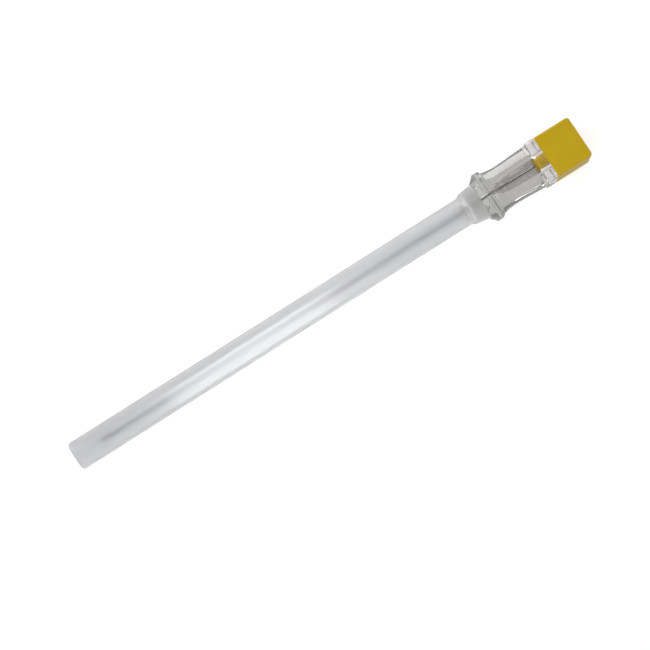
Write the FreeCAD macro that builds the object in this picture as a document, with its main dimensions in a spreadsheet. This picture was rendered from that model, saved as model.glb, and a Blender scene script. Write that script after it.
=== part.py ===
import FreeCAD, Part

import math
import os

import Sketcher

# Sheathed spinal needle, lying on its hub flange. Millimetres, +Z up.
# X runs along the needle, from the closed end of the sheath to the back of the stylet cap.
# The origin is under the middle of the whole, on the surface that it lies on.

SIZES = {
    # Needle: 20 gauge, 0.90 by 88 mm, with a short cutting bevel
    "exposed_length": 88.0,
    "cannula_diameter": 0.90,
    "cannula_bore": 0.65,
    "stylet_diameter": 0.60,
    "bevel_angle": 20.0,
    "lancet_angle": 28.0,
    "lancet_turn": 35.0,
    # Sheath: a straight tube, closed in front, with a bell mouth behind
    "sheath_diameter": 6.3,
    "sheath_wall": 0.6,
    "end_wall": 1.0,
    "end_rounding": 0.8,
    "bore_chamfer": 0.4,
    "point_room": 5.1,
    "bell_wall": 0.6,
    "shoulder_length": 0.8,
    "shoulder_wall": 0.4,
    "bell_room": 0.2,
    "lip_chamfer": 0.15,
    # Hub, outside
    "boss_diameter": 4.2,
    "boss_length": 1.2,
    "boss_chamfer": 0.3,
    "nose_front_diameter": 6.2,
    "nose_rear_diameter": 6.8,
    "nose_length": 2.45,
    "nose_chamfer": 0.25,
    "collar_width": 8.6,
    "collar_depth": 7.0,
    "collar_corner": 3.2,
    "collar_length": 1.15,
    "flange_width": 10.7,
    "flange_depth": 8.2,
    "flange_corner": 2.8,
    "flange_thickness": 1.6,
    "flange_chamfer": 0.25,
    "collar_land": 0.05,
    "root_step": 0.36,
    "waist_distance": 3.4,
    "waist_width": 8.8,
    "waist_depth": 6.9,
    "flare_blend": 3.0,
    "grip_length": 10.9,
    "grip_rear_width": 9.6,
    "grip_rear_depth": 7.1,
    "grip_crown": 6.0,
    "grip_corner": 1.8,
    "rim_width": 9.7,
    "rim_depth": 7.2,
    "rim_corner": 1.0,
    "rim_length": 2.3,
    # Hub, inside: 6 percent conical socket, funnel, throat, cannula seat and adhesive well
    "socket_mouth": 4.30,
    "socket_depth": 8.0,
    "socket_taper": 0.06,
    "seat_depth": 5.5,
    "throat_length": 0.5,
    "well_diameter": 2.6,
    "well_depth": 1.6,
    "key_width": 2.0,
    "key_height": 0.9,
    "key_length": 1.5,
    # Stylet cap
    "cap_width": 9.5,
    "cap_length": 8.4,
    "cap_step": 0.2,
    "cap_corner": 0.7,
    "cap_edge": 0.5,
    "plug_length": 2.5,
    "plug_chamfer": 0.3,
    "wire_anchor": 6.0,
    "gate_diameter": 1.0,
    "gate_depth": 0.08,
    # Adhesive
    "meniscus_height": 0.5,
    "meniscus_radius": 1.4,
    # Clearances
    "nose_clearance": 0.03,
    "mouth_gap": 0.15,
    "plug_clearance": 0.03,
    "cap_gap": 0.05,
    "key_clearance": 0.06,
    "seat_clearance": 0.02,
    "bond_clearance": 0.01,
}

doc = FreeCAD.newDocument("spinal_needle")
sheet = doc.addObject("Spreadsheet::Sheet", "Sizes")
for row, (alias, number) in enumerate(SIZES.items(), start=1):
    sheet.set(f"A{row}", alias)
    sheet.set(f"B{row}", str(number))
    sheet.setAlias(f"B{row}", alias)
doc.recompute()

# Stations along the needle, as distances from the hub's front face
COLLAR_X = "(Sizes.boss_length + Sizes.nose_length)"
FLANGE_X = f"({COLLAR_X} + Sizes.collar_length)"
GRIP_X = f"({FLANGE_X} + Sizes.flange_thickness)"
RIM_X = f"({GRIP_X} + Sizes.grip_length)"
HUB_LENGTH = f"({RIM_X} + Sizes.rim_length)"
THROAT_END = "(Sizes.seat_depth + Sizes.throat_length)"
SOCKET_FLOOR = f"({HUB_LENGTH} - Sizes.socket_depth)"

# Distances from the closed end of the sheath
POINT_IN_SHEATH = "(Sizes.end_wall + Sizes.point_room)"
HUB_IN_SHEATH = f"({POINT_IN_SHEATH} + Sizes.exposed_length)"
NOSE_IN_SHEATH = f"({HUB_IN_SHEATH} + Sizes.boss_length)"
BELL_FLOOR = f"({NOSE_IN_SHEATH} - Sizes.bell_room)"
MOUTH = f"({NOSE_IN_SHEATH} + Sizes.nose_length - Sizes.mouth_gap)"
SHOULDER_END = f"({BELL_FLOOR} - Sizes.shoulder_wall)"
SHOULDER_START = f"({SHOULDER_END} - Sizes.shoulder_length)"

# The bell follows the taper of the nose that it grips
NOSE_SLOPE = "((Sizes.nose_rear_diameter - Sizes.nose_front_diameter) / 2 / Sizes.nose_length)"
BELL_FRONT_RADIUS = (
    f"(Sizes.nose_front_diameter / 2 + Sizes.nose_clearance - {NOSE_SLOPE} * Sizes.bell_room)"
)
BELL_REAR_RADIUS = (
    f"(Sizes.nose_rear_diameter / 2 + Sizes.nose_clearance - {NOSE_SLOPE} * Sizes.mouth_gap)"
)
BELL_DIAMETER = f"(2 * ({BELL_REAR_RADIUS} + Sizes.bell_wall))"

# The cap's broad faces stand a step below those of the rim, whatever the rim's depth
CAP_DEPTH = "(Sizes.rim_depth - 2 * Sizes.cap_step)"

# Places of the pieces in the part's own frame
OVERALL = f"({HUB_IN_SHEATH} + {HUB_LENGTH} + Sizes.cap_gap + Sizes.cap_length)"
SHEATH_AT = f"(-{OVERALL} / 2)"
POINT_AT = f"({SHEATH_AT} + {POINT_IN_SHEATH})"
HUB_AT = f"({SHEATH_AT} + {HUB_IN_SHEATH})"
CAP_AT = f"({HUB_AT} + {HUB_LENGTH} + Sizes.cap_gap)"
AXIS_HEIGHT = f"(max(Sizes.flange_depth; {BELL_DIAMETER}; Sizes.rim_depth) / 2)"

CANNULA_RADIUS = "(Sizes.cannula_diameter / 2)"
STYLET_RADIUS = "(Sizes.stylet_diameter / 2)"

# Planes of the ground point: name, turn about the needle and slope to its axis
BEVEL = ("bevel", "0", "Sizes.bevel_angle")
LANCETS = [
    ("lancet_near", "Sizes.lancet_turn", "Sizes.lancet_angle"),
    ("lancet_far", "-Sizes.lancet_turn", "Sizes.lancet_angle"),
]

SAMPLES_PER_EDGE = 5
ON_PLANE = 1e-4


def value(expression):
    return float(sheet.evalExpression(expression))


def new_body(label, along):
    """A piece of its own, with its zero at the station given, on the needle's axis."""
    body = doc.addObject("PartDesign::Body", label)
    body.Label = label
    body.setExpression("Placement.Base.x", along)
    body.setExpression("Placement.Base.z", AXIS_HEIGHT)
    return body


def new_sketch(body, name, role, lift=None):
    """A sketch on one of the body's own origin planes, lifted along its normal."""
    sketch = body.newObject("Sketcher::SketchObject", name)
    plane = next(f for f in body.Origin.OriginFeatures if f.Role == role)
    sketch.AttachmentSupport = [(plane, "")]
    sketch.MapMode = "FlatFace"
    if lift is not None:
        sketch.setExpression("AttachmentOffset.Base.z", lift)
    return sketch


def pin_point(sketch, edge, end, x, y):
    """Holds one end of an edge at the place that two expressions give."""
    for kind, axis, place in (("DistanceX", -2, x), ("DistanceY", -1, y)):
        if place == "0":
            sketch.addConstraint(Sketcher.Constraint("PointOnObject", edge, end, axis))
            continue
        rule = Sketcher.Constraint(kind, -1, 1, edge, end, value(place))
        index = sketch.addConstraint(rule)
        sketch.setExpression(f"Constraints[{index}]", place)


def arc_between(start, finish, radius, turn):
    """The short arc from start to finish that turns left or right."""
    chord = finish - start
    height = math.sqrt(max(radius**2 - (chord.Length / 2) ** 2, 0.0))
    across = FreeCAD.Vector(-chord.y, chord.x, 0).normalize()
    side = 1 if turn == "left" else -1
    centre = (start + finish) * 0.5 + across * (side * height)
    first, last = (start, finish) if turn == "left" else (finish, start)
    angles = [math.atan2(p.y - centre.y, p.x - centre.x) for p in (first, last)]
    return Part.ArcOfCircle(Part.Circle(centre, FreeCAD.Vector(0, 0, 1), radius), *angles)


def outline(sketch, corners):
    """A closed outline. A corner is (x, y), or (x, y, turn, radius) where an arc leaves it."""
    count = len(corners)
    places = [FreeCAD.Vector(value(c[0]), value(c[1]), 0) for c in corners]
    ends = []
    for number, corner in enumerate(corners):
        start, finish = places[number], places[(number + 1) % count]
        if len(corner) == 2:
            edge = sketch.addGeometry(Part.LineSegment(start, finish), False)
            ends.append((edge, 1, 2))
            continue
        turn, radius = corner[2:]
        edge = sketch.addGeometry(arc_between(start, finish, value(radius), turn), False)
        ends.append((edge, 1, 2) if turn == "left" else (edge, 2, 1))
        index = sketch.addConstraint(Sketcher.Constraint("Radius", edge, value(radius)))
        sketch.setExpression(f"Constraints[{index}]", radius)
    for number, corner in enumerate(corners):
        edge, first, _ = ends[number]
        before, _, last = ends[number - 1]
        sketch.addConstraint(Sketcher.Constraint("Coincident", before, last, edge, first))
        pin_point(sketch, edge, first, corner[0], corner[1])


def circle(sketch, radius, x="0"):
    """A circle on the sketch's horizontal axis."""
    centre = FreeCAD.Vector(value(x), 0, 0)
    round_edge = Part.Circle(centre, FreeCAD.Vector(0, 0, 1), value(radius))
    edge = sketch.addGeometry(round_edge, False)
    pin_point(sketch, edge, 3, x, "0")
    index = sketch.addConstraint(Sketcher.Constraint("Radius", edge, value(radius)))
    sketch.setExpression(f"Constraints[{index}]", radius)


def rounded_rectangle(width, depth, corner):
    """Corners of a rectangle about the origin, with round corners."""
    a, b = f"({width}) / 2", f"({depth}) / 2"
    flat_a, flat_b = f"({a} - {corner})", f"({b} - {corner})"
    return [
        (a, f"-{flat_b}"),
        (a, flat_b, "left", corner),
        (flat_a, b),
        (f"-{flat_a}", b, "left", corner),
        (f"-{a}", flat_b),
        (f"-{a}", f"-{flat_b}", "left", corner),
        (f"-{flat_a}", f"-{b}"),
        (flat_a, f"-{b}", "left", corner),
    ]


def crowned_section(width, depth):
    """Corners of the grip's section: crowned faces, round corners and upright sides."""
    a, b = f"(({width}) / 2)", f"(({depth}) / 2)"
    corner, crown = "Sizes.grip_corner", "Sizes.grip_crown"
    inset = f"({a} - {corner})"
    reach = f"({crown} - {corner})"
    rise = f"sqrt({reach}^2 - {inset}^2)"
    side = f"({b} - {crown} + {rise})"
    join_x = f"({inset} + {corner} * {inset} / {reach})"
    join_y = f"({side} + {corner} * {rise} / {reach})"
    return [
        (a, f"-{side}"),
        (a, side, "left", corner),
        (join_x, join_y, "left", crown),
        (f"-{join_x}", join_y, "left", corner),
        (f"-{a}", side),
        (f"-{a}", f"-{side}", "left", corner),
        (f"-{join_x}", f"-{join_y}", "left", crown),
        (join_x, f"-{join_y}", "left", corner),
    ]


def pad(body, name, sketch, length, symmetric=False, backwards=False):
    feature = body.newObject("PartDesign::Pad", name)
    feature.Profile = sketch
    feature.SideType = "Symmetric" if symmetric else "One side"
    feature.Reversed = backwards
    feature.setExpression("Length", length)
    doc.recompute()
    return feature


def pocket(body, name, sketch, length, symmetric=False, forwards=False):
    """Cuts against the sketch's normal, or along it where forwards is set."""
    before = body.Tip.Shape.Volume
    feature = body.newObject("PartDesign::Pocket", name)
    feature.Profile = sketch
    feature.SideType = "Symmetric" if symmetric else "One side"
    feature.Reversed = forwards
    feature.setExpression("Length", length)
    doc.recompute()
    assert feature.Shape.Volume < before, f"{name} cuts nothing"
    return feature


def turn_about_axis(body, name, kind, corners):
    """A revolved solid or groove about the needle's axis."""
    sketch = new_sketch(body, f"{name}_profile", "XZ_Plane")
    outline(sketch, corners)
    feature = body.newObject(f"PartDesign::{kind}", name)
    feature.Profile = sketch
    feature.ReferenceAxis = (sketch, ["H_Axis"])
    feature.Angle = 360
    doc.recompute()
    return feature


def finish_edges(body, name, kind, size, chosen):
    """A Fillet or Chamfer on the edges of the body so far whose every sampled point is chosen."""
    base = body.Tip
    names = []
    for number, edge in enumerate(base.Shape.Edges, start=1):
        if all(chosen(point) for point in edge.discretize(Number=SAMPLES_PER_EDGE)):
            names.append(f"Edge{number}")
    assert names, f"{name} finds no edge"
    feature = body.newObject(f"PartDesign::{kind}", name)
    feature.Base = (base, names)
    feature.setExpression("Radius" if kind == "Fillet" else "Size", size)
    doc.recompute()
    return feature


def near(number, target):
    return abs(number - target) < ON_PLANE


def make_sheath():
    """One moulded tube. Its bell mouth sits on the hub's tapered nose."""
    body = new_body("needle_sheath", SHEATH_AT)
    tube = "Sizes.sheath_diameter / 2"
    bore = f"({tube} - Sizes.sheath_wall)"
    bell_front = f"({BELL_FRONT_RADIUS} + Sizes.bell_wall - {NOSE_SLOPE} * Sizes.shoulder_wall)"
    bell_rear = f"({BELL_REAR_RADIUS} + Sizes.bell_wall)"
    profile = [
        ("0", "0"),
        ("0", f"({tube} - Sizes.end_rounding)", "right", "Sizes.end_rounding"),
        ("Sizes.end_rounding", tube),
        (SHOULDER_START, tube),
        (SHOULDER_END, bell_front),
        (f"({MOUTH} - Sizes.lip_chamfer)", bell_rear),
        (MOUTH, f"({bell_rear} - Sizes.lip_chamfer)"),
        (MOUTH, BELL_REAR_RADIUS),
        (BELL_FLOOR, BELL_FRONT_RADIUS),
        (BELL_FLOOR, bore),
        ("(Sizes.end_wall + Sizes.bore_chamfer)", bore),
        ("Sizes.end_wall", f"({bore} - Sizes.bore_chamfer)"),
        ("Sizes.end_wall", "0"),
    ]
    turn_about_axis(body, "sheath_tube", "Revolution", profile)
    return body


def flared(root, waist, rear):
    """Stations from the flange back, each with the size there: a concave arc to the waist,
    then a gentle blend into a straight flare."""
    drop = f"(({root} - {waist}) / 2)"
    radius = f"((Sizes.waist_distance^2 + {drop}^2) / (2 * {drop}))"
    length = "(Sizes.grip_length - Sizes.waist_distance)"
    slope = f"(({rear} - {waist}) / 2 / ({length} - Sizes.flare_blend / 2))"
    stations = []
    for thirds in (3, 2, 1, 0):
        ahead = f"(Sizes.waist_distance * {thirds} / 3)"
        size = f"({waist} + 2 * ({radius} - sqrt({radius}^2 - {ahead}^2)))"
        stations.append((f"(Sizes.waist_distance - {ahead})", size))
    for halves in (1, 2):
        behind = f"(Sizes.flare_blend * {halves} / 2)"
        size = f"({waist} + {slope} * {behind}^2 / Sizes.flare_blend)"
        stations.append((f"(Sizes.waist_distance + {behind})", size))
    stations.append(("Sizes.grip_length", rear))
    return stations


def add_grip(body):
    """The waisted grip between the flange and the rear rim, lofted through crowned sections."""
    widths = flared(
        "(Sizes.flange_width - 2 * Sizes.root_step)", "Sizes.waist_width", "Sizes.grip_rear_width"
    )
    depths = flared(
        "(Sizes.flange_depth - 2 * Sizes.root_step)", "Sizes.waist_depth", "Sizes.grip_rear_depth"
    )
    sections = []
    for number, ((station, width), (_, depth)) in enumerate(zip(widths, depths), start=1):
        sketch = new_sketch(body, f"grip_section_{number}", "YZ_Plane", f"{GRIP_X} + {station}")
        outline(sketch, crowned_section(width, depth))
        sections.append(sketch)
    loft = body.newObject("PartDesign::AdditiveLoft", "grip")
    loft.Profile = sections[0]
    loft.Sections = sections[1:]
    doc.recompute()


def add_collar(body):
    """The slope that leads from the nose up to the flange."""
    inner = new_sketch(body, "collar_front", "YZ_Plane", COLLAR_X)
    outline(
        inner,
        rounded_rectangle("Sizes.collar_width", "Sizes.collar_depth", "Sizes.collar_corner"),
    )
    outer = new_sketch(body, "collar_back", "YZ_Plane", FLANGE_X)
    inset = "(2 * (Sizes.flange_chamfer + Sizes.collar_land))"
    outline(
        outer,
        rounded_rectangle(
            f"Sizes.flange_width - {inset}",
            f"Sizes.flange_depth - {inset}",
            "(Sizes.flange_corner - Sizes.flange_chamfer - Sizes.collar_land)",
        ),
    )
    loft = body.newObject("PartDesign::AdditiveLoft", "collar")
    loft.Profile = inner
    loft.Sections = [outer]
    loft.Ruled = True
    doc.recompute()


def make_hub():
    """The clear moulding that carries the cannula and takes the syringe."""
    body = new_body("needle_hub", HUB_AT)

    plate = new_sketch(body, "flange_outline", "YZ_Plane", FLANGE_X)
    outline(
        plate,
        rounded_rectangle("Sizes.flange_width", "Sizes.flange_depth", "Sizes.flange_corner"),
    )
    pad(body, "flange", plate, "Sizes.flange_thickness")
    front, back = value(FLANGE_X), value(GRIP_X)
    finish_edges(
        body,
        "flange_chamfer",
        "Chamfer",
        "Sizes.flange_chamfer",
        lambda p: near(p.x, front) or near(p.x, back),
    )
    add_collar(body)

    nose_front = "Sizes.nose_front_diameter / 2"
    boss = "Sizes.boss_diameter / 2"
    turn_about_axis(
        body,
        "nose",
        "Revolution",
        [
            ("0", "0"),
            ("0", f"({boss} - Sizes.boss_chamfer)"),
            ("Sizes.boss_chamfer", boss),
            ("Sizes.boss_length", boss),
            ("Sizes.boss_length", f"({nose_front} - Sizes.nose_chamfer)"),
            (
                "(Sizes.boss_length + Sizes.nose_chamfer)",
                f"({nose_front} + {NOSE_SLOPE} * Sizes.nose_chamfer)",
            ),
            (COLLAR_X, "Sizes.nose_rear_diameter / 2"),
            (COLLAR_X, "0"),
        ],
    )
    add_grip(body)

    rim = new_sketch(body, "rim_outline", "YZ_Plane", RIM_X)
    outline(rim, rounded_rectangle("Sizes.rim_width", "Sizes.rim_depth", "Sizes.rim_corner"))
    pad(body, "rim", rim, "Sizes.rim_length")

    seat = f"({CANNULA_RADIUS} + Sizes.seat_clearance)"
    throat = "Sizes.cannula_bore / 2"
    mouth = "Sizes.socket_mouth / 2"
    floor = f"({mouth} - Sizes.socket_taper / 2 * Sizes.socket_depth)"
    funnel_rise = f"({floor} - {throat})"
    funnel_run = f"({SOCKET_FLOOR} - {THROAT_END})"
    funnel_radius = f"(({funnel_run}^2 + {funnel_rise}^2) / (2 * {funnel_rise}))"
    turn_about_axis(
        body,
        "passage",
        "Groove",
        [
            ("0", "0"),
            ("0", "Sizes.well_diameter / 2"),
            ("Sizes.well_depth", seat),
            ("Sizes.seat_depth", seat),
            ("Sizes.seat_depth", throat),
            (THROAT_END, throat, "right", funnel_radius),
            (SOCKET_FLOOR, floor),
            (HUB_LENGTH, mouth),
            (HUB_LENGTH, "0"),
        ],
    )

    notch = new_sketch(body, "key_notch_outline", "YZ_Plane", HUB_LENGTH)
    half = "Sizes.key_width / 2"
    top = "-(Sizes.rim_depth / 2 - Sizes.key_height)"
    bottom = "-(Sizes.rim_depth / 2 + Sizes.key_height)"
    outline(notch, [(half, bottom), (half, top), (f"-{half}", top), (f"-{half}", bottom)])
    pocket(body, "key_notch", notch, "Sizes.key_length")
    return body


def grind(body, cuts):
    """Grinds the point. Each cut is a plane through it, turned about the needle and sloped.
    The opening faces the key notch, below."""
    margin = "Sizes.cannula_diameter"
    for name, turn, angle in cuts:
        sketch = new_sketch(body, f"{name}_outline", "XZ_Plane")
        sketch.AttachmentOffset = FreeCAD.Placement(
            FreeCAD.Vector(), FreeCAD.Rotation(FreeCAD.Vector(1, 0, 0), value(turn))
        )
        if turn != "0":
            sketch.setExpression("AttachmentOffset.Rotation.Angle", f"({turn}) * 1deg")
        slope = f"tan({angle} * 1deg)"
        point_height = f"({CANNULA_RADIUS} * cos({turn} * 1deg))"
        outline(
            sketch,
            [
                (f"-{margin}", f"({point_height} + {margin} * {slope})"),
                (f"-{margin}", f"-{margin}"),
                (f"({point_height} + {margin}) / {slope}", f"-{margin}"),
            ],
        )
        pocket(body, name, sketch, f"4 * {margin}", symmetric=True)


def make_cannula():
    """The steel tube, from its point to the shoulder in the hub."""
    body = new_body("cannula", POINT_AT)
    ring = new_sketch(body, "tube_section", "YZ_Plane")
    circle(ring, CANNULA_RADIUS)
    circle(ring, "Sizes.cannula_bore / 2")
    pad(body, "tube", ring, "Sizes.exposed_length + Sizes.seat_depth")
    grind(body, [BEVEL, *LANCETS])
    return body


def make_stylet_wire():
    """The wire that fills the cannula. Its tip lies in the cannula's bevel. The lancet facets
    stay in the tube's wall and don't reach it."""
    body = new_body("stylet_wire", POINT_AT)
    section = new_sketch(body, "wire_section", "YZ_Plane")
    circle(section, STYLET_RADIUS)
    pad(
        body,
        "wire",
        section,
        f"Sizes.exposed_length + {HUB_LENGTH} + Sizes.cap_gap + Sizes.wire_anchor",
    )
    grind(body, [BEVEL])
    return body


def make_stylet_cap():
    """The cap: a block with a tapered plug, a key lug and the wire moulded in."""
    body = new_body("stylet_cap", CAP_AT)
    half = "Sizes.cap_width / 2"
    straight = f"({half} - Sizes.cap_corner)"
    shoulder = "(Sizes.cap_length - Sizes.cap_corner)"
    plan = new_sketch(body, "block_outline", "XY_Plane")
    outline(
        plan,
        [
            ("0", f"-{half}"),
            (shoulder, f"-{half}", "left", "Sizes.cap_corner"),
            ("Sizes.cap_length", f"-{straight}"),
            ("Sizes.cap_length", straight, "left", "Sizes.cap_corner"),
            (shoulder, half),
            ("0", half),
        ],
    )
    pad(body, "block", plan, CAP_DEPTH, symmetric=True)
    face = value(f"{CAP_DEPTH} / 2")
    side = value(half)
    finish_edges(
        body,
        "block_rounding",
        "Fillet",
        "Sizes.cap_edge",
        lambda p: near(abs(p.z), face) and (not near(p.x, 0) or near(abs(p.y), side)),
    )

    mouth = "(Sizes.socket_mouth / 2 - Sizes.plug_clearance)"
    slope = "Sizes.socket_taper / 2"
    base = f"({mouth} + {slope} * Sizes.cap_gap)"
    tip = f"({base} - {slope} * Sizes.plug_length)"
    turn_about_axis(
        body,
        "plug",
        "Revolution",
        [
            ("-Sizes.plug_length", "0"),
            ("-Sizes.plug_length", f"({tip} - Sizes.plug_chamfer)"),
            ("(Sizes.plug_chamfer - Sizes.plug_length)", tip),
            ("0", base),
            ("0", "0"),
        ],
    )

    lug = new_sketch(body, "key_lug_outline", "YZ_Plane")
    lug_half = "(Sizes.key_width / 2 - Sizes.key_clearance)"
    lug_top = "-(Sizes.rim_depth / 2 - Sizes.key_height + Sizes.key_clearance)"
    lug_bottom = f"-{CAP_DEPTH} / 2"
    outline(
        lug,
        [
            (lug_half, lug_bottom),
            (lug_half, lug_top),
            (f"-{lug_half}", lug_top),
            (f"-{lug_half}", lug_bottom),
        ],
    )
    pad(
        body,
        "key_lug",
        lug,
        "Sizes.cap_gap + Sizes.key_length - Sizes.key_clearance",
        backwards=True,
    )

    hole = new_sketch(body, "wire_hole_outline", "YZ_Plane", "-Sizes.plug_length")
    circle(hole, f"({STYLET_RADIUS} + Sizes.bond_clearance)")
    depth = "Sizes.plug_length + Sizes.wire_anchor + Sizes.bond_clearance"
    pocket(body, "wire_hole", hole, depth, forwards=True)

    gate = new_sketch(body, "gate_outline", "XY_Plane", f"{CAP_DEPTH} / 2")
    circle(gate, "Sizes.gate_diameter / 2", "Sizes.cap_length / 2")
    pocket(body, "gate_mark", gate, "Sizes.gate_depth")
    return body


def make_bond():
    """Cured adhesive in the hub's well, drawn up the cannula as a meniscus."""
    body = new_body("adhesive_bond", HUB_AT)
    inner = f"({CANNULA_RADIUS} + Sizes.bond_clearance)"
    rim = "(Sizes.well_diameter / 2 - Sizes.bond_clearance)"
    turn_about_axis(
        body,
        "bond",
        "Revolution",
        [
            ("-Sizes.meniscus_height", inner),
            ("(Sizes.well_depth - Sizes.bond_clearance)", inner),
            ("0", rim, "right", "Sizes.meniscus_radius"),
        ],
    )
    return body


def check_document():
    for item in doc.Objects:
        assert not {"Invalid", "Error"} & set(item.State), f"{item.Label} failed: {item.State}"


def write_parts(bodies):
    os.makedirs("parts", exist_ok=True)
    for body in bodies:
        shape = body.Shape
        assert not shape.isNull() and shape.isValid(), f"{body.Label} has no valid shape"
        assert len(shape.Solids) == 1, f"{body.Label} has {len(shape.Solids)} solids"
        box = shape.BoundBox
        print(
            f"{body.Label}: {shape.Volume:.2f} mm3,"
            f" x {box.XMin:.3f} to {box.XMax:.3f},"
            f" y {box.YMin:.3f} to {box.YMax:.3f}, z {box.ZMin:.3f} to {box.ZMax:.3f}"
        )
        shape.exportStep(os.path.join("parts", f"{body.Label}.step"))


pieces = [
    make_sheath(),
    make_hub(),
    make_cannula(),
    make_stylet_wire(),
    make_stylet_cap(),
    make_bond(),
]
doc.recompute()
check_document()
write_parts(pieces)
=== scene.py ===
# %% [markdown]
# # A sheathed spinal needle
#
# The object is a fine steel needle, filled by a capped stylet, in a clear moulded hub. A milky
# sheath slides over it and grips the nose of the hub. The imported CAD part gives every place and
# size. This lesson adds what the photo shows of plastic and steel. It loads the frame first,
# because every piece that is made here has to stand exactly where the CAD piece stands.

# %% Load the frame
import math

import bmesh
import bpy
import numpy as np
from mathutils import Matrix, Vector


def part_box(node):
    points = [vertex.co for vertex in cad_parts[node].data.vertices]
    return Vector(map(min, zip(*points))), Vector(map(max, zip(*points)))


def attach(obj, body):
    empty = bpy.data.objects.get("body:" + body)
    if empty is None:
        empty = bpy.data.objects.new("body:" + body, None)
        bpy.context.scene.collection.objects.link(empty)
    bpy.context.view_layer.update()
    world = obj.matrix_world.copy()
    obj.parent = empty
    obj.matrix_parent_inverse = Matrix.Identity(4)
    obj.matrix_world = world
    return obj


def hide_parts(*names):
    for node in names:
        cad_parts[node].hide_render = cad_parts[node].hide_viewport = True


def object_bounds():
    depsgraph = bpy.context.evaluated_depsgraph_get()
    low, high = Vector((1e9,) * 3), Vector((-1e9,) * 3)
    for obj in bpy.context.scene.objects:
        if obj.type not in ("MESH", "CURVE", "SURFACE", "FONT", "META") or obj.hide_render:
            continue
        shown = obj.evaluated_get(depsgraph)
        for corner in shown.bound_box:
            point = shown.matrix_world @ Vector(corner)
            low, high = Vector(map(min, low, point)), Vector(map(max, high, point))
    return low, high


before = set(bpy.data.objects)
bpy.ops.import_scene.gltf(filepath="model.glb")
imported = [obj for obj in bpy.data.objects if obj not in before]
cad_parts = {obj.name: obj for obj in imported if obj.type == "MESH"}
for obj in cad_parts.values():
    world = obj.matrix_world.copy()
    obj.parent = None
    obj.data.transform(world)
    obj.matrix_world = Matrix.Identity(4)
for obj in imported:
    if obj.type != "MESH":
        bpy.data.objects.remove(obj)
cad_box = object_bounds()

print("CAD nodes:", ", ".join(sorted(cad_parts)))

# %% [markdown]
# ## Stations along the needle
#
# Every piece is round or squared about one straight axis, the needle's own. So a place is a
# distance along X and a distance from the axis. The ends of the pieces come from the boxes of
# the CAD nodes, and the steps between them are the sizes that the mouldings have.

# %% Read the stations off the CAD nodes
MM = 0.001

sheath_low, sheath_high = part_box("needle_sheath")
hub_low, hub_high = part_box("needle_hub")

SHEATH_TIP = sheath_low.x
SHEATH_MOUTH = sheath_high.x
HUB_FRONT = hub_low.x
HUB_REAR = hub_high.x
AXIS_HEIGHT = (hub_low.z + hub_high.z) / 2
BELL_RADIUS = (sheath_high.z - sheath_low.z) / 2

print(f"sheath {(SHEATH_MOUTH - SHEATH_TIP) / MM:.2f} mm, hub {(HUB_REAR - HUB_FRONT) / MM:.2f} mm")
print(f"axis {AXIS_HEIGHT / MM:.2f} mm above the table, bell {BELL_RADIUS / MM:.3f} mm in radius")

# %% [markdown]
# ## Soft corners
#
# A mould has no perfectly sharp edge, and a clear or glossy piece shows it: each edge carries
# a thin line of light. A bevel modifier could add that, but it struggles where many faces meet.
# Here an outline gets its round corners before it becomes a surface. Each corner is replaced by
# a short curve, and the same rule works for one outline or for a whole fan of them at once.


# %% A helper that rounds the corners of an outline
LARGEST_SHARE = 0.48
TINY = 1e-9


def soften(corners, roundings, steps=5):
    """Corners has the shape (corner, direction, 2). A rounding of 0 keeps its corner sharp."""
    share = np.linspace(0, 1, steps)[:, None, None]
    rows = []
    for number, rounding in enumerate(roundings):
        corner = corners[number]
        if rounding == 0:
            rows.append(corner[None])
            continue
        before = corners[number - 1] - corner
        after = corners[(number + 1) % len(corners)] - corner
        starts = corner + before * limited(rounding, before)
        ends = corner + after * limited(rounding, after)
        curve = (1 - share) ** 2 * starts + 2 * share * (1 - share) * corner + share**2 * ends
        rows.append(curve)
    return np.concatenate(rows)


def limited(rounding, edge):
    """The share of an edge that a rounding takes, at most just under half."""
    length = np.linalg.norm(edge, axis=-1, keepdims=True)
    return np.minimum(rounding / np.maximum(length, TINY), LARGEST_SHARE)


# %% [markdown]
# ## Finishing a mesh
#
# Cycles asks two things of a clear piece: a closed surface, and faces that all point outwards.
# Light that goes in through a gap never comes out, and shows as a black patch. This helper
# merges the seam, turns the faces outwards, shades the smooth parts smooth, and measures.


# %% A helper that closes, shades and measures a piece
MERGE_DISTANCE = 1e-7
NO_EDGE = 1e-8
SHARP_DEGREES = 30


def close_and_measure(piece):
    work = bmesh.new()
    work.from_mesh(piece.data)
    bmesh.ops.remove_doubles(work, verts=work.verts, dist=MERGE_DISTANCE)
    bmesh.ops.dissolve_degenerate(work, edges=work.edges, dist=NO_EDGE)
    bmesh.ops.recalc_face_normals(work, faces=work.faces)
    open_edges = sum(1 for edge in work.edges if not edge.is_manifold)
    volume = work.calc_volume(signed=True) / MM**3
    work.to_mesh(piece.data)
    work.free()
    piece.data.shade_smooth()
    piece.data.set_sharp_from_angle(angle=math.radians(SHARP_DEGREES))
    triangles = sum(len(face.vertices) - 2 for face in piece.data.polygons)
    print(f"{piece.name}: {triangles} triangles, {volume:.1f} mm3, {open_edges} open edges")
    return piece


def new_piece(name, points, faces):
    mesh = bpy.data.meshes.new(name)
    mesh.from_pydata(points, [], faces)
    piece = bpy.data.objects.new(name, mesh)
    bpy.context.scene.collection.objects.link(piece)
    return piece


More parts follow.
